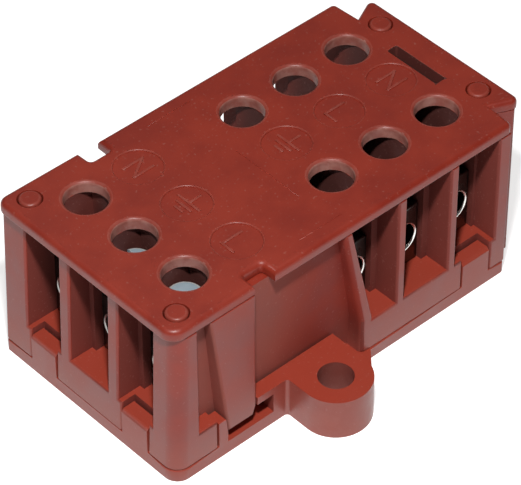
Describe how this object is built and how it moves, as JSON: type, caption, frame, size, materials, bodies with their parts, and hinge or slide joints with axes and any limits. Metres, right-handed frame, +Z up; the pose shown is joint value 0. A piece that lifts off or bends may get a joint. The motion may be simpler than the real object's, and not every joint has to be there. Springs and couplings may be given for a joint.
{
  "type": "terminal strip",
  "caption": "Moulded terminal block with open wire bays along its sides and near end, screw clamps under a holed cover, fixing ears and a dovetail tongue.",
  "frame": {"origin": "middle of the underside", "axes": "+X from the three-clamp end to the tongue, +Y across to the back, +Z up"},
  "size_m": [0.0586, 0.0476, 0.0247],
  "materials": {
    "plastic": "moulded satin",
    "brass": "nickel plated",
    "steel": "zinc plated"
  },
  "bodies": {
    "block": {"cover_plate": "plastic", "housing": "plastic", "base_plate": "plastic", "earth_strip": "brass", "line_strip": "brass", "neutral_strip": "brass", "earth_bar": "brass", "line_bar": "brass", "neutral_bar": "brass", "line_pillar": "brass", "earth_pillar": "brass", "neutral_pillar": "brass"},
    "end_screw_1": {"end_screw_1": "steel"},
    "end_screw_2": {"end_screw_2": "steel"},
    "end_screw_3": {"end_screw_3": "steel"},
    "front_screw_1": {"front_screw_1": "steel"},
    "front_screw_2": {"front_screw_2": "steel"},
    "front_screw_3": {"front_screw_3": "steel"},
    "back_screw_1": {"back_screw_1": "steel"},
    "back_screw_2": {"back_screw_2": "steel"},
    "back_screw_3": {"back_screw_3": "steel"}
  },
  "joints": [
    {"name": "end_screw_1_travel", "type": "slide", "parent": "block", "child": "end_screw_1", "axis": [0, 0, 1], "range_m": [-0.003, 0.0009]},
    {"name": "end_screw_2_travel", "type": "slide", "parent": "block", "child": "end_screw_2", "axis": [0, 0, 1], "range_m": [-0.0023, 0.0016]},
    {"name": "end_screw_3_travel", "type": "slide", "parent": "block", "child": "end_screw_3", "axis": [0, 0, 1], "range_m": [-0.0017, 0.0022]},
    {"name": "front_screw_1_travel", "type": "slide", "parent": "block", "child": "front_screw_1", "axis": [0, 0, 1], "range_m": [-0.0017, 0.0022]},
    {"name": "front_screw_2_travel", "type": "slide", "parent": "block", "child": "front_screw_2", "axis": [0, 0, 1], "range_m": [-0.0017, 0.0022]},
    {"name": "front_screw_3_travel", "type": "slide", "parent": "block", "child": "front_screw_3", "axis": [0, 0, 1], "range_m": [-0.0019, 0.002]},
    {"name": "back_screw_1_travel", "type": "slide", "parent": "block", "child": "back_screw_1", "axis": [0, 0, 1], "range_m": [-0.0017, 0.0022]},
    {"name": "back_screw_2_travel", "type": "slide", "parent": "block", "child": "back_screw_2", "axis": [0, 0, 1], "range_m": [-0.0017, 0.0022]},
    {"name": "back_screw_3_travel", "type": "slide", "parent": "block", "child": "back_screw_3", "axis": [0, 0, 1], "range_m": [-0.0017, 0.0022]}
  ]
}
